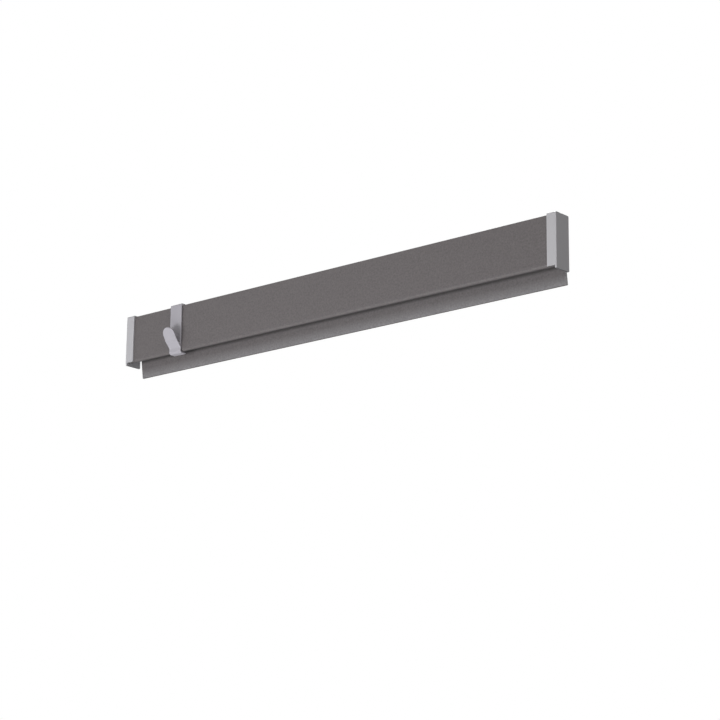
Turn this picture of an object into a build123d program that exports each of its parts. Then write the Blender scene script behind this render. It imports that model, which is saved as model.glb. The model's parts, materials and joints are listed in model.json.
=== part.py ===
from build123d import *
import os
from math import atan2, cos, radians, sin, tan

# Picture hanging rail with a clip-on hook. Sizes are in millimetres.
# The wall is the plane Y = 0, the front faces -Y, +X runs to the right along the rail and +Z is up.
# The origin lies on the wall, midway between the two wall screws.

# Rail: overall sizes
RAIL_LENGTH = 350.0  # sawn length, without the end caps
RAIL_DEPTH = 11.5  # fascia front to back face
WALL_GAP = 2.6  # back face to wall, where a hook's rear leg hangs
TOP_ABOVE_SCREWS = 13.2  # screw line to the top face
ROLLER_ROOM = 12.0  # ceiling of the roller room to the underside of the lip
FLANGE_DROP = 8.45  # underside of the lip to the foot of the flange

# Rail: walls and edges
SKIN = 1.6  # fascia, top and back
WEB = 1.2  # inner ribs
LIP_DEPTH = 2.2  # return of the fascia's lower edge
LIP_RADIUS = 1.6
TOP_EDGE_RADIUS = 0.5
FLANGE_THICKNESS = 1.6
FLANGE_START = 2.25  # ceiling down to where the back begins to lean towards the wall
FLANGE_EDGE_RADIUS = 0.5
SHELF_START = 3.35  # ceiling down to the root of the roller shelf
SHELF_REACH = 5.6
SHELF_ANGLE = 45.0
NOSE_ROUNDING = 0.4  # radius on the shelf's nose, as a share of its thickness

# Rail: rear channel for the wall clips
CHANNEL_HEIGHT = 10.0
CHANNEL_MOUTH = 7.0
CHANNEL_DEPTH = 2.1  # room in front of the channel's lips

# Grip rollers
ROLLER_DIAMETER = 5.6
ROLLER_PITCH = 25.0
ROLLER_GAP = 1.0  # between the ends of two neighbours
ROLLER_CHAMFER = 0.5
ROLLER_CLEARANCE = 0.2  # to the shelf and the flange, at rest

# End caps
CAP_INSET = 3.0  # rail's end to the cap's outer face
CAP_LENGTH = 6.8
CAP_PROUD = 1.0  # in front of the fascia
CAP_RISE = 0.7  # above the top face
CAP_DROP = 1.8  # end wall below the lip
END_WALL = 1.2
CAP_CORNER_RADIUS = 0.8
CAP_EDGE_RADIUS = 0.35
CAP_CLEARANCE = 0.05  # skirt to rail
STOP_LIFT = 3.4  # underside of the lip up to the stop that closes the roller room
PLUG_LENGTH = 7.0
PLUG_WALL = 1.2
PLUG_CLEARANCE = 0.15
PLUG_CHAMFER = 0.4

# Wall clips
SCREW_SPACING = 200.0
SCREW_HOLE = 4.0
SCREW_HEAD = 7.0
CLIP_LENGTH = 24.0
CLIP_CORNER_RADIUS = 1.0
CLIP_CLEARANCE = 0.1
CLIP_MARGIN = 0.2  # clip's plate inside the channel's height, above and below
ARM_WIDTH = 6.0
ARM_THICKNESS = 1.2
BARB_SHARE = 0.6  # share of a channel lip that a barb reaches behind

# Hook
HOOK_FROM_LEFT = 47.1  # left cap's outer face to the hook's middle
HOOK_WIDTH = 10.3
STRIP = 1.1  # thickness
HOOK_CLEARANCE = 0.1  # to the rail
TOP_BEND = 0.1  # inside radius over the rail's top edges
JAW_BEND = 0.6  # inside radius round the rail's lip
HOOK_LEG_GAP = 0.7  # rear leg's end above the wall clips
JAW_REACH = 4.2  # under the lip, from the fascia's front
TONGUE_ROOT = 3.1  # underside of the lip up to where the tongue leaves the leg
FLARE_RUN = 3.88
FLARE_RISE = 4.12
TIP_LENGTH = 9.05  # flare's end to the tip's outermost point
TIP_LEAN = 29.5  # from the vertical
TONGUE_BEND = 2.6  # radius on the tongue's middle line
BOWL_RADIUS = 0.6  # between the tongue and the leg
STRIP_END_ROUNDING = 0.4  # radius on the strip's ends, as a share of its thickness
HOOK_EDGE_CHAMFER = 0.2

# Places that follow from the sizes
BACK_Y = -WALL_GAP
FRONT_Y = BACK_Y - RAIL_DEPTH
FASCIA_INNER_Y = FRONT_Y + SKIN
BACK_INNER_Y = BACK_Y - SKIN
CHANNEL_FLOOR_Y = BACK_INNER_Y - CHANNEL_DEPTH
LIP_END_Y = FRONT_Y + LIP_DEPTH
TOP_Z = TOP_ABOVE_SCREWS
CEILING_Z = -CHANNEL_HEIGHT / 2 - WEB
LIP_Z = CEILING_Z - ROLLER_ROOM
FOOT_Z = LIP_Z - FLANGE_DROP
FLANGE_TOP_Z = CEILING_Z - FLANGE_START
FLANGE_LEAN = atan2(WALL_GAP, FLANGE_TOP_Z - FOOT_Z)
FLANGE_WIDTH_Y = FLANGE_THICKNESS / cos(FLANGE_LEAN)
SHELF_TILT = radians(SHELF_ANGLE)
SHELF_ROOT_Z = CEILING_Z - SHELF_START
RAIL_END_X = RAIL_LENGTH / 2
CAP_FACE_X = RAIL_END_X + CAP_INSET


def block(y_low, y_high, z_low, z_high):
    """Rectangle in the rail's section, given by its limits in Y and Z."""
    return Pos((y_low + y_high) / 2, (z_low + z_high) / 2) * Rectangle(y_high - y_low, z_high - z_low)


def along_rail(section, x_low, x_high):
    """Solid with a section in Y and Z that runs along the rail between two stations."""
    return extrude(Plane.YZ.offset(x_low) * section, x_high - x_low)


def flange_front_y(z):
    """Front face of the leaning flange at a height."""
    return -FLANGE_WIDTH_Y - (z - FOOT_Z) * tan(FLANGE_LEAN)


def upper_chamber():
    """Hollow above the roller room, in front of the rear channel and over it."""
    room = block(FASCIA_INNER_Y, BACK_INNER_Y, CEILING_Z + WEB, TOP_Z - SKIN)
    channel_walls = block(CHANNEL_FLOOR_Y - WEB, BACK_INNER_Y, CEILING_Z, -CEILING_Z)
    return room - channel_walls


def rear_channel():
    """Undercut slot along the back, with a lip above and below its mouth."""
    cavity = block(CHANNEL_FLOOR_Y, BACK_INNER_Y, -CHANNEL_HEIGHT / 2, CHANNEL_HEIGHT / 2)
    mouth = block(BACK_INNER_Y, BACK_Y, -CHANNEL_MOUTH / 2, CHANNEL_MOUTH / 2)
    return cavity + mouth


def roller_room():
    """Room between fascia and flange, open downwards behind the lip."""
    return Polygon(
        (FASCIA_INNER_Y, CEILING_Z),
        (FASCIA_INNER_Y, LIP_Z + SKIN),
        (LIP_END_Y, LIP_Z + SKIN),
        (LIP_END_Y, LIP_Z),
        (flange_front_y(LIP_Z), LIP_Z),
        (flange_front_y(CEILING_Z), CEILING_Z),
        align=None,
    )


def flange():
    """Flange that leans back to the wall and carries the upper edge of a sheet."""
    plate = Polygon(
        (BACK_Y, FLANGE_TOP_Z),
        (BACK_Y - FLANGE_WIDTH_Y, FLANGE_TOP_Z),
        (-FLANGE_WIDTH_Y, FOOT_Z),
        (0, FOOT_Z),
        align=None,
    )
    return fillet(plate.vertices().group_by(Axis.Y)[0], FLANGE_EDGE_RADIUS)


def roller_shelf():
    """Rib that slopes down towards the flange. Its root is set half into the fascia."""
    root_y = FASCIA_INNER_Y - SKIN / 2
    root_z = SHELF_ROOT_Z + SKIN / 2 * tan(SHELF_TILT)
    nose_y = FASCIA_INNER_Y + SHELF_REACH
    nose_z = SHELF_ROOT_Z - SHELF_REACH * tan(SHELF_TILT)
    rib = Polygon(
        (root_y, root_z),
        (root_y, root_z - WEB / cos(SHELF_TILT)),
        (nose_y - WEB * sin(SHELF_TILT), nose_z - WEB * cos(SHELF_TILT)),
        (nose_y, nose_z),
        align=None,
    )
    nose = rib.vertices().sort_by(Axis.X)[-2:]
    return fillet(nose, NOSE_ROUNDING * WEB)


def rail_profile():
    """The extruded rail."""
    box = block(FRONT_Y, BACK_Y, LIP_Z, TOP_Z)
    box = fillet(box.vertices().group_by(Axis.Y)[-1], TOP_EDGE_RADIUS)
    box = fillet(box.vertices().group_by(Axis.Y)[0].sort_by(Axis.X)[0], LIP_RADIUS)
    section = box - upper_chamber() - rear_channel() - roller_room() + flange() + roller_shelf()
    return along_rail(section, -RAIL_END_X, RAIL_END_X)


def roller_middle():
    """Where a roller's axis lies at rest: clear of the shelf and of the flange by the same amount."""
    reach = ROLLER_DIAMETER / 2 + ROLLER_CLEARANCE
    shelf_level = reach / cos(SHELF_TILT) + SHELF_ROOT_Z + FASCIA_INNER_Y * tan(SHELF_TILT)
    flange_level = -FLANGE_WIDTH_Y + FOOT_Z * tan(FLANGE_LEAN) - reach / cos(FLANGE_LEAN)
    y = (flange_level - shelf_level * tan(FLANGE_LEAN)) / (1 - tan(SHELF_TILT) * tan(FLANGE_LEAN))
    return y, shelf_level - y * tan(SHELF_TILT)


def grip_roller(middle_x):
    """Loose roller that pinches a sheet against the flange."""
    length = ROLLER_PITCH - ROLLER_GAP
    y, z = roller_middle()
    rod = Rot(0, 90, 0) * Cylinder(ROLLER_DIAMETER / 2, length)
    return Pos(middle_x, y, z) * chamfer(rod.edges().filter_by(GeomType.CIRCLE), ROLLER_CHAMFER)


def end_cap():
    """Right-hand cap: end wall, skirt over the fascia and the top, stop and hollow plug."""
    cap_front_y = FRONT_Y - CAP_PROUD
    cap_top_z = TOP_Z + CAP_RISE
    wall_inner_x = CAP_FACE_X - END_WALL
    outline = block(cap_front_y, BACK_Y, LIP_Z - CAP_DROP, cap_top_z)
    outline = fillet(outline.vertices(), CAP_CORNER_RADIUS)
    over_rail = block(FRONT_Y - CAP_CLEARANCE, BACK_Y, LIP_Z, TOP_Z + CAP_CLEARANCE)
    skirt = outline & block(cap_front_y, BACK_Y, LIP_Z, cap_top_z)
    stop = outline & block(cap_front_y, BACK_Y, LIP_Z + STOP_LIFT, cap_top_z)
    plug = offset(upper_chamber(), -PLUG_CLEARANCE, kind=Kind.INTERSECTION)
    plug_core = offset(upper_chamber(), -PLUG_CLEARANCE - PLUG_WALL, kind=Kind.INTERSECTION)
    plug_start_x = RAIL_END_X - PLUG_LENGTH

    end_wall = along_rail(outline, wall_inner_x, CAP_FACE_X)
    end_wall = fillet(end_wall.faces().sort_by(Axis.X)[-1].edges(), CAP_EDGE_RADIUS)
    plug_body = along_rail(plug, plug_start_x, RAIL_END_X)
    plug_body = chamfer(plug_body.faces().sort_by(Axis.X)[0].edges(), PLUG_CHAMFER)
    plug_body -= along_rail(plug_core, plug_start_x, RAIL_END_X)
    cap = end_wall + along_rail(skirt - over_rail, CAP_FACE_X - CAP_LENGTH, RAIL_END_X)
    cap += along_rail(skirt - over_rail + stop, RAIL_END_X, wall_inner_x)
    return cap + plug_body


def wall_clip(middle_x):
    """Clip that is screwed to the wall, with four barbed arms that catch in the rear channel."""
    thickness = WALL_GAP - CLIP_CLEARANCE
    height = CHANNEL_HEIGHT - 2 * CLIP_MARGIN
    plate = extrude(Plane.XZ * RectangleRounded(CLIP_LENGTH, height, CLIP_CORNER_RADIUS), thickness)
    hole = extrude(Plane.XZ * Circle(SCREW_HOLE / 2), thickness)
    sink_depth = (SCREW_HEAD - SCREW_HOLE) / 2
    sink = Plane.XZ.offset(thickness - sink_depth / 2) * Cone(SCREW_HOLE / 2, SCREW_HEAD / 2, sink_depth)

    arm_out = CHANNEL_MOUTH / 2 - CLIP_CLEARANCE
    arm_in = arm_out - ARM_THICKNESS
    barb_tip = arm_out + BARB_SHARE * (CHANNEL_HEIGHT - CHANNEL_MOUTH) / 2
    barb_y = BACK_INNER_Y - CLIP_CLEARANCE
    nose_y = CHANNEL_FLOOR_Y + 2 * CLIP_CLEARANCE
    arm = Polygon(
        (-thickness / 2, arm_in),
        (-thickness / 2, arm_out),
        (barb_y, arm_out),
        (barb_y, barb_tip),
        (nose_y, (arm_in + arm_out) / 2),
        (nose_y, arm_in),
        align=None,
    )
    arm_pair = arm + mirror(arm, about=Plane.XZ)
    right_arms = along_rail(arm_pair, CLIP_LENGTH / 2 - ARM_WIDTH, CLIP_LENGTH / 2)
    clip = plate + right_arms + mirror(right_arms, about=Plane.YZ) - hole - sink
    return Pos(middle_x, 0, 0) * clip


def bent_strip(points, radius):
    """Section of a strip that is bent along a line of points. The radius is that of its middle line."""
    return trace(FilletPolyline(*points, radius=radius), STRIP)


def hook_clamp():
    """Section of the hook's rear leg, top, front leg and lower jaw, from two strips that overlap."""
    half = STRIP / 2
    rear_y = BACK_Y + HOOK_CLEARANCE + half
    leg_y = FRONT_Y - HOOK_CLEARANCE - half
    top_z = TOP_Z + HOOK_CLEARANCE + half
    jaw_z = LIP_Z - HOOK_CLEARANCE - half
    leg_end = (rear_y, CHANNEL_HEIGHT / 2 - CLIP_MARGIN + HOOK_LEG_GAP)
    jaw_end = (FRONT_Y + JAW_REACH, jaw_z)
    clamp = bent_strip([leg_end, (rear_y, top_z), (leg_y, top_z), (leg_y, -half)], TOP_BEND + half)
    clamp += bent_strip([(leg_y, half), (leg_y, jaw_z), jaw_end], JAW_BEND + half)
    for end in (leg_end, jaw_end):
        clamp = fillet(clamp.vertices().sort_by_distance(end)[:2], STRIP_END_ROUNDING * STRIP)
    return clamp


def rail_hook():
    """Clip-on hook: a clamp that grips the rail, and a tongue that stands out in front."""
    half = STRIP / 2
    lean = radians(TIP_LEAN)
    leg_y = FRONT_Y - HOOK_CLEARANCE - half
    root_z = LIP_Z + TONGUE_ROOT
    flare = (leg_y - FLARE_RUN, root_z + FLARE_RISE)
    tip = (flare[0] - TIP_LENGTH * sin(lean), flare[1] + TIP_LENGTH * cos(lean))
    past_tip = (tip[0] - STRIP * sin(lean), tip[1] + STRIP * cos(lean))
    tongue = bent_strip([(leg_y, root_z - TONGUE_ROOT / 2), (leg_y, root_z), flare, past_tip], TONGUE_BEND)
    section = hook_clamp() + tongue
    bowl_floor = (leg_y - half, root_z + half / tan(atan2(FLARE_RUN, FLARE_RISE) / 2))
    section = fillet(section.vertices().sort_by_distance(bowl_floor)[0], BOWL_RADIUS)
    hook = along_rail(section, -HOOK_WIDTH / 2, HOOK_WIDTH / 2)

    # The tip is rounded to a half circle as wide as the strip.
    radius = HOOK_WIDTH / 2
    centre = (0, tip[0] + radius * sin(lean), tip[1] - radius * cos(lean))
    tip_plane = Plane(centre, x_dir=(1, 0, 0), z_dir=(0, -cos(lean), -sin(lean)))
    corners = Pos(0, HOOK_WIDTH) * Rectangle(2 * HOOK_WIDTH, 2 * HOOK_WIDTH) - Circle(radius)
    hook -= extrude(tip_plane * corners, STRIP, both=True)
    hook = chamfer(hook.faces().filter_by(Axis.X).edges(), HOOK_EDGE_CHAMFER)
    return Pos(HOOK_FROM_LEFT - CAP_FACE_X, 0, 0) * hook


def build_nodes():
    """All pieces of the rail, by name."""
    right_cap = end_cap()
    nodes = {
        "rail_profile": rail_profile(),
        "end_cap_left": mirror(right_cap, about=Plane.YZ),
        "end_cap_right": right_cap,
        "wall_clip_left": wall_clip(-SCREW_SPACING / 2),
        "wall_clip_right": wall_clip(SCREW_SPACING / 2),
        "rail_hook": rail_hook(),
    }
    roller_count = int(RAIL_LENGTH // ROLLER_PITCH)
    for index in range(roller_count):
        middle_x = (index - (roller_count - 1) / 2) * ROLLER_PITCH
        nodes[f"grip_roller_{index + 1:02d}"] = grip_roller(middle_x)
    return nodes


os.makedirs("parts", exist_ok=True)
for name, shape in build_nodes().items():
    export_step(shape, f"parts/{name}.step")
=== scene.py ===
import json
from math import pi, radians

import bpy
from mathutils import Matrix, Vector


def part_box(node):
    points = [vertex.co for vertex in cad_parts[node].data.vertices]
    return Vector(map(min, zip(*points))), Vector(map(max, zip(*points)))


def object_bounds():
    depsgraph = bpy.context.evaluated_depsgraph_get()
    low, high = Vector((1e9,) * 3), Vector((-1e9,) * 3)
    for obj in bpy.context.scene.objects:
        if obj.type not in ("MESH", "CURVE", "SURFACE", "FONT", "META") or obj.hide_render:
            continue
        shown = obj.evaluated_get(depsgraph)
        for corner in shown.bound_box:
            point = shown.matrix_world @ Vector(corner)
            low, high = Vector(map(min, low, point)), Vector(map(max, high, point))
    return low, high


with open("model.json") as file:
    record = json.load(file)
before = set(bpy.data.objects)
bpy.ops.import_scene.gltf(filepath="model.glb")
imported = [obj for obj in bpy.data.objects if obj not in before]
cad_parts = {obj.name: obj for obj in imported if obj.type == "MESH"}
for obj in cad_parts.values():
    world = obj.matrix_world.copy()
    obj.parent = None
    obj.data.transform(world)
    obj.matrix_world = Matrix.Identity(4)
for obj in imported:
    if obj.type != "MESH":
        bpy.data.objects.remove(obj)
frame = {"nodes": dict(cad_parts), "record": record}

CAD_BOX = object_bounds()

# Picture hanging rail with a clip-on hook. Sizes are in metres, grain and bumps in millimetres.
MM = 0.001

# Camera: the photograph's viewing angle
CAMERA_PLACE = Vector((0.87808, -0.99042, -0.38991))
CAMERA_YAW = radians(40.99)
CAMERA_PITCH = radians(14.73)
CAMERA_ROLL = radians(0.6)
CAMERA_LENS = 109.95
SENSOR_WIDTH = 36.0

# Light: each direction leads from the part's middle to the light. A share of 1 shows a colour as it is
# written, on a surface that faces the light.
AIM = (CAD_BOX[0] + CAD_BOX[1]) / 2
WHITE = (1.0, 1.0, 1.0)
AMBIENT_SHARE = 0.17
LIGHTS = {
    # In front, a little to the left and below, as the shadow of the hook's tongue shows
    "key": dict(direction=(-0.32, -1.0, -0.43), distance=0.95, size=0.4, share=0.588),
    # Close below, for the lip and the flange
    "bounce": dict(direction=(0.0, -0.45, -0.85), distance=0.6, size=0.5, share=0.46),
    # To the right and above, large and slightly warm
    "fill": dict(direction=(0.6, -0.65, 0.45), distance=1.6, size=1.2, share=0.24, tint=(1.0, 0.95, 0.9)),
    # Behind and above, for the top and the back
    "back": dict(direction=(-0.4, 1.0, 0.9), distance=1.5, size=1.0, share=0.85),
}

# Rail: the fascia's front, the flange's foot, and the underside of the fascia's lip above that foot
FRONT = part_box("rail_profile")[0].y
FOOT_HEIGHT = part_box("rail_profile")[0].z
FLANGE_DROP = 8.45 * MM
LIP_HEIGHT = FOOT_HEIGHT + FLANGE_DROP

# Rail's coat: painted light makes it paler from below the lip down to the foot, and painted shade makes
# it darker in the slot, which is behind the lip and above it
PAINTED_LIGHT_START = LIP_HEIGHT - 1.8 * MM
SLOT_FRONT = FRONT + 1.0 * MM
SLOT_START = LIP_HEIGHT + 1.0 * MM
SLOT_FULL = LIP_HEIGHT + 2.5 * MM

# Facing: how far a surface has to look along an axis for a mask to start, and to be full
FRONT_LIMITS = (0.7, 0.95)
FLAT_LIMITS = (0.9, 0.99)
UNDERSIDE_LIMITS = (0.5, 0.9)

# Colours: a dark and a light tone, and a grain runs between them
COAT = ((0.097, 0.0888, 0.091), (0.15, 0.1383, 0.1415))
# Painted light: a paler tone on the flange's front, growing towards its foot
PAINTED_LIGHT_COAT = ((0.152, 0.147, 0.154), (0.242, 0.237, 0.244))
# Painted shade: a darker tone in the slot and on faces that look down
PAINTED_SHADE_COAT = ((0.055, 0.0505, 0.0515), (0.066, 0.061, 0.0625))
SAWN_METAL = ((0.42, 0.42, 0.425), (0.5, 0.5, 0.505))
CAP_GREY = ((0.444, 0.442, 0.464), (0.475, 0.473, 0.497))
HOOK_GREY = ((0.342, 0.332, 0.368), (0.384, 0.373, 0.41))
CLIP_GREY = ((0.26, 0.26, 0.265), (0.3, 0.3, 0.305))
ROLLER_WHITE = ((0.66, 0.65, 0.62), (0.72, 0.71, 0.68))
FLOOR_WHITE = ((0.86, 0.86, 0.86), (0.875, 0.875, 0.875))

# Grain: its cells along X, Y and Z. Most of the noise lies between the low and the high value.
FLAKE_CELL = (0.35, 0.35, 0.35)
SPECKLE_CELL = (1.1, 1.1, 1.1)
LINE_CELL = (160.0, 0.5, 0.5)
CLOUD_CELL = (8.0, 4.0, 4.0)
SAW_CELL = (1.0, 0.25, 6.0)
FLOW_CELL = (9.0, 9.0, 14.0)
FLOOR_CELL = (300.0, 300.0, 300.0)
PLAIN_DETAIL = 2.0
FINE_DETAIL = 3.0
GRAIN_LOW = 0.25
GRAIN_HIGH = 0.75

# Mixed grain: the share of the grain that is named first
LINES_IN_COAT = 0.1
CLOUDS_IN_COAT = 0.1
LINES_IN_RELIEF = 0.25
FLOW_IN_PLASTIC = 0.5

# Gloss and bumps: a spread is how much a roughness varies to both sides
PLAIN_SPECULAR = 0.5
PLASTIC_SPREAD = 0.05
COAT_ROUGHNESS = 0.5
COAT_SPREAD = 0.04
COAT_SPECULAR = 0.3
COAT_RELIEF_MM = 0.012

# Plastics: an underside is the share of the colour kept on faces that look down, which paints shade on
# them
PLASTICS = {
    # The cap's faces that look down keep a fifth of its colour, as painted shade
    "cap_plastic": dict(
        tones=CAP_GREY, cell_mm=0.3, relief_mm=0.01, roughness=0.55, specular=0.35, painted_underside_shade=0.2
    ),
    "hook_plastic": dict(tones=HOOK_GREY, cell_mm=0.25, relief_mm=0.006, roughness=0.4, specular=0.7),
    "clip_plastic": dict(tones=CLIP_GREY, cell_mm=0.3, relief_mm=0.01, roughness=0.5),
    "roller_plastic": dict(tones=ROLLER_WHITE, cell_mm=0.4, relief_mm=0.008, roughness=0.45),
}

# Floor: its glow is the share of its colour that is seen whatever light falls on it
FLOOR_DEPTH = 1.35
FLOOR_SIZE = 40.0
FLOOR_ROUGHNESS = 0.9
FLOOR_GLOW = 0.8


# Nodes and objects

def math_node(tree, operation, first, second):
    """One value, made from two."""
    node = tree.nodes.new("ShaderNodeMath")
    node.operation = operation
    tree.links.new(first, node.inputs[0])
    tree.links.new(second, node.inputs[1])
    return node.outputs["Value"]


def mix_shaders(tree, share, first, second):
    """First shader where the share is 0, second where it is 1."""
    node = tree.nodes.new("ShaderNodeMixShader")
    tree.links.new(share, node.inputs["Fac"])
    tree.links.new(first, node.inputs[1])
    tree.links.new(second, node.inputs[2])
    return node.outputs["Shader"]


def seen_mask(tree):
    """Mask that is 1 where the camera, a reflection or a clear material looks, and 0 elsewhere."""
    path = tree.nodes.new("ShaderNodeLightPath")
    seen = path.outputs["Is Camera Ray"]
    for kind in ("Is Glossy Ray", "Is Transmission Ray"):
        seen = math_node(tree, "MAXIMUM", seen, path.outputs[kind])
    return seen


def new_object(name, data):
    """Object in the scene."""
    thing = bpy.data.objects.new(name, data)
    bpy.context.scene.collection.objects.link(thing)
    return thing


# Materials

class Finish:
    """A material with one shader, and short ways to feed it with grain."""

    def __init__(self, name, roughness, specular=PLAIN_SPECULAR):
        self.material = bpy.data.materials.new(name)
        self.material.use_nodes = True
        self.tree = self.material.node_tree
        self.nodes = self.tree.nodes
        self.links = self.tree.links
        self.roughness = roughness
        self.shader = self.nodes["Principled BSDF"]
        self.shader.inputs["Roughness"].default_value = roughness
        self.shader.inputs["Specular IOR Level"].default_value = specular
        coordinates = self.nodes.new("ShaderNodeTexCoord")
        self.place = coordinates.outputs["Object"]
        self.facing = coordinates.outputs["Normal"]

    def grain(self, cell_mm, detail=PLAIN_DETAIL):
        """Noise whose cells measure cell_mm along X, Y and Z."""
        mapping = self.nodes.new("ShaderNodeMapping")
        mapping.inputs["Scale"].default_value = [1 / (cell * MM) for cell in cell_mm]
        self.links.new(self.place, mapping.inputs["Vector"])
        noise = self.nodes.new("ShaderNodeTexNoise")
        noise.inputs["Scale"].default_value = 1.0
        noise.inputs["Detail"].default_value = detail
        self.links.new(mapping.outputs["Vector"], noise.inputs["Vector"])
        return noise.outputs["Fac"]

    def blend(self, first, second, share):
        """Two grains in one, with a share of the second."""
        node = self.nodes.new("ShaderNodeMix")
        node.inputs["Factor"].default_value = share
        self.links.new(first, node.inputs["A"])
        self.links.new(second, node.inputs["B"])
        return node.outputs["Result"]

    def ranged(self, source, start, end, low=0.0, high=1.0):
        """Value that goes from low to high while its source goes from start to end."""
        node = self.nodes.new("ShaderNodeMapRange")
        node.inputs["From Min"].default_value = start
        node.inputs["From Max"].default_value = end
        node.inputs["To Min"].default_value = low
        node.inputs["To Max"].default_value = high
        self.links.new(source, node.inputs["Value"])
        return node.outputs["Result"]

    def step(self, vector, axis, start, end):
        """Mask that goes from 0 to 1 while one coordinate goes from start to end."""
        parts = self.nodes.new("ShaderNodeSeparateXYZ")
        self.links.new(vector, parts.inputs["Vector"])
        return self.ranged(parts.outputs[axis], start, end)

    def faces(self, axis, side, limits):
        """Mask that is 1 on faces that look to one side, 1 or -1, along an axis."""
        start, full = limits
        return self.step(self.facing, axis, side * start, side * full)

    def both(self, first, second):
        """Mask that is 1 where two masks are 1."""
        return math_node(self.tree, "MULTIPLY", first, second)

    def shades(self, source, tones):
        """Colour that runs from a dark to a light tone with a grain."""
        node = self.nodes.new("ShaderNodeValToRGB")
        for end, position, tone in zip(node.color_ramp.elements, (GRAIN_LOW, GRAIN_HIGH), tones):
            end.position = position
            end.color = (*tone, 1.0)
        self.links.new(source, node.inputs["Fac"])
        return node.outputs["Color"]

    def choose(self, mask, first, second):
        """First colour where the mask is 0, second where it is 1."""
        node = self.nodes.new("ShaderNodeMix")
        node.data_type = "RGBA"
        self.links.new(mask, node.inputs["Factor"])
        self.links.new(first, node.inputs["A"])
        self.links.new(second, node.inputs["B"])
        return node.outputs["Result"]

    def colour(self, source):
        """Colour of the surface."""
        self.links.new(source, self.shader.inputs["Base Color"])

    def gloss(self, source, spread):
        """Roughness that varies with a grain."""
        glossy = self.roughness - spread
        dull = self.roughness + spread
        varied = self.ranged(source, GRAIN_LOW, GRAIN_HIGH, glossy, dull)
        self.links.new(varied, self.shader.inputs["Roughness"])

    def relief(self, source, height_mm):
        """Fine bumps of a height."""
        bump = self.nodes.new("ShaderNodeBump")
        bump.inputs["Distance"].default_value = height_mm * MM
        self.links.new(source, bump.inputs["Height"])
        self.links.new(bump.outputs["Normal"], self.shader.inputs["Normal"])


def rail_colour(finish, shade):
    """Coat with painted light that makes it paler towards the flange's foot, and painted shade that makes
    it darker in the slot and on faces that look down, with bare metal at the sawn ends."""
    to_front = finish.faces("Y", -1, FRONT_LIMITS)
    painted_light_ramp = finish.step(finish.place, "Z", PAINTED_LIGHT_START, FOOT_HEIGHT)
    behind_lip = finish.step(finish.place, "Y", FRONT, SLOT_FRONT)
    above_lip = finish.step(finish.place, "Z", SLOT_START, SLOT_FULL)
    flange = finish.both(painted_light_ramp, to_front)
    slot = finish.both(finish.both(behind_lip, above_lip), to_front)
    painted_underside_shade = finish.faces("Z", -1, FLAT_LIMITS)
    colour = finish.shades(shade, COAT)
    # Painted light on the flange towards its foot, painted shade on faces that look down and in the slot
    for mask, tones in ((flange, PAINTED_LIGHT_COAT), (painted_underside_shade, PAINTED_SHADE_COAT), (slot, PAINTED_SHADE_COAT)):
        colour = finish.choose(mask, colour, finish.shades(shade, tones))
    sawn = finish.shades(finish.grain(SAW_CELL), SAWN_METAL)
    for side in (-1, 1):
        colour = finish.choose(finish.faces("X", side, FLAT_LIMITS), colour, sawn)
    return colour


def coated_aluminium():
    """Dark grey satin coat with a fine speckle, and faint lines along the extrusion."""
    finish = Finish("coated_aluminium", COAT_ROUGHNESS, COAT_SPECULAR)
    flakes = finish.grain(FLAKE_CELL, FINE_DETAIL)
    speckle = finish.grain(SPECKLE_CELL, FINE_DETAIL)
    lines = finish.grain(LINE_CELL)
    clouds = finish.grain(CLOUD_CELL, FINE_DETAIL)
    lined = finish.blend(speckle, lines, LINES_IN_COAT)
    shade = finish.blend(lined, clouds, CLOUDS_IN_COAT)
    finish.colour(rail_colour(finish, shade))
    finish.gloss(flakes, COAT_SPREAD)
    finish.relief(finish.blend(flakes, lines, LINES_IN_RELIEF), COAT_RELIEF_MM)
    return finish.material


def moulded_plastic(name, tones, cell_mm, relief_mm, roughness, specular=PLAIN_SPECULAR, painted_underside_shade=1.0):
    """Plastic with the fine texture of its mould and a faint flow pattern."""
    finish = Finish(name, roughness, specular)
    texture = finish.grain((cell_mm, cell_mm, cell_mm), FINE_DETAIL)
    flow = finish.grain(FLOW_CELL)
    shade = finish.blend(texture, flow, FLOW_IN_PLASTIC)
    colour = finish.shades(shade, tones)
    # Painted shade: faces that look down get a darker copy of the colour
    if painted_underside_shade < 1.0:
        painted_shade_tones = [[painted_underside_shade * part for part in tone] for tone in tones]
        looks_down = finish.faces("Z", -1, UNDERSIDE_LIMITS)
        colour = finish.choose(looks_down, colour, finish.shades(shade, painted_shade_tones))
    finish.colour(colour)
    finish.gloss(flow, PLASTIC_SPREAD)
    finish.relief(texture, relief_mm)
    return finish.material


def dress_part():
    """Each piece gets the material that the record names for it."""
    materials = {"coated_aluminium": coated_aluminium()}
    for name, settings in PLASTICS.items():
        materials[name] = moulded_plastic(name, **settings)
    for subpart in frame["record"]["subparts"]:
        node = frame["nodes"][subpart["node"]]
        node.data.materials.clear()
        node.data.materials.append(materials[subpart["material_slot"]])


# Stage, light and camera

def floor_material():
    """Pale finish, a share of which glows where it is seen."""
    finish = Finish("pale_floor", FLOOR_ROUGHNESS)
    pale = finish.shades(finish.grain(FLOOR_CELL), FLOOR_WHITE)
    finish.colour(pale)
    glow = finish.nodes.new("ShaderNodeEmission")
    finish.links.new(pale, glow.inputs["Color"])
    share = finish.ranged(seen_mask(finish.tree), 0.0, 1.0, high=FLOOR_GLOW)
    surface = mix_shaders(finish.tree, share, finish.shader.outputs["BSDF"], glow.outputs["Emission"])
    finish.links.new(surface, finish.nodes["Material Output"].inputs["Surface"])
    return finish.material


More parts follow.
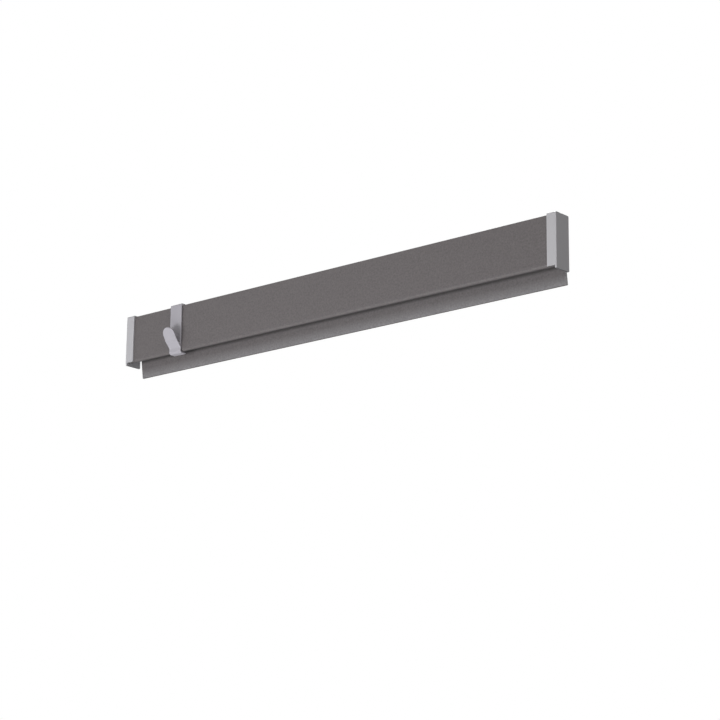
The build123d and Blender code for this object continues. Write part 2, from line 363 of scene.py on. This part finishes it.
def pale_floor():
    """Plain pale floor, well below the rail."""
    edge = FLOOR_SIZE / 2
    corners = [(-edge, -edge), (edge, -edge), (edge, edge), (-edge, edge)]
    mesh = bpy.data.meshes.new("floor")
    mesh.from_pydata([(x, y, -FLOOR_DEPTH) for x, y in corners], [], [(0, 1, 2, 3)])
    mesh.materials.append(floor_material())
    floor = new_object("floor", mesh)


def area_light(name, direction, distance, size, share, tint=WHITE):
    """Square light that gives a share of full light to a surface that faces it."""
    data = bpy.data.lights.new(name, "AREA")
    data.size = size
    data.color = tint
    data.energy = share * (pi * distance) ** 2
    light = new_object(name, data)
    outward = Vector(direction).normalized()
    light.location = AIM + outward * distance
    light.rotation_euler = outward.to_track_quat("Z", "Y").to_euler()
    light.visible_camera = False


def studio_world():
    """Even light from all sides, and white where the camera or a reflection sees past the rail."""
    world = bpy.data.worlds.new("studio")
    bpy.context.scene.world = world
    world.use_nodes = True
    tree = world.node_tree
    even = tree.nodes["Background"]
    white = tree.nodes.new("ShaderNodeBackground")
    for background, strength in ((even, AMBIENT_SHARE), (white, 1.0)):
        background.inputs["Color"].default_value = (*WHITE, 1.0)
        background.inputs["Strength"].default_value = strength
    surface = mix_shaders(tree, seen_mask(tree), even.outputs["Background"], white.outputs["Background"])
    tree.links.new(surface, tree.nodes["World Output"].inputs["Surface"])


def photo_camera():
    """Camera at the photograph's viewing angle."""
    data = bpy.data.cameras.new("camera")
    data.lens = CAMERA_LENS
    data.sensor_width = SENSOR_WIDTH
    camera = new_object("camera", data)
    turn = Matrix.Rotation(CAMERA_YAW, 4, "Z")
    tilt = Matrix.Rotation(pi / 2 + CAMERA_PITCH, 4, "X")
    roll = Matrix.Rotation(CAMERA_ROLL, 4, "Z")
    camera.matrix_world = Matrix.Translation(CAMERA_PLACE) @ turn @ tilt @ roll
    bpy.context.scene.camera = camera


dress_part()
pale_floor()
for light_name, light_settings in LIGHTS.items():
    area_light(light_name, **light_settings)
studio_world()
photo_camera()
bpy.context.scene.view_settings.view_transform = "Standard"
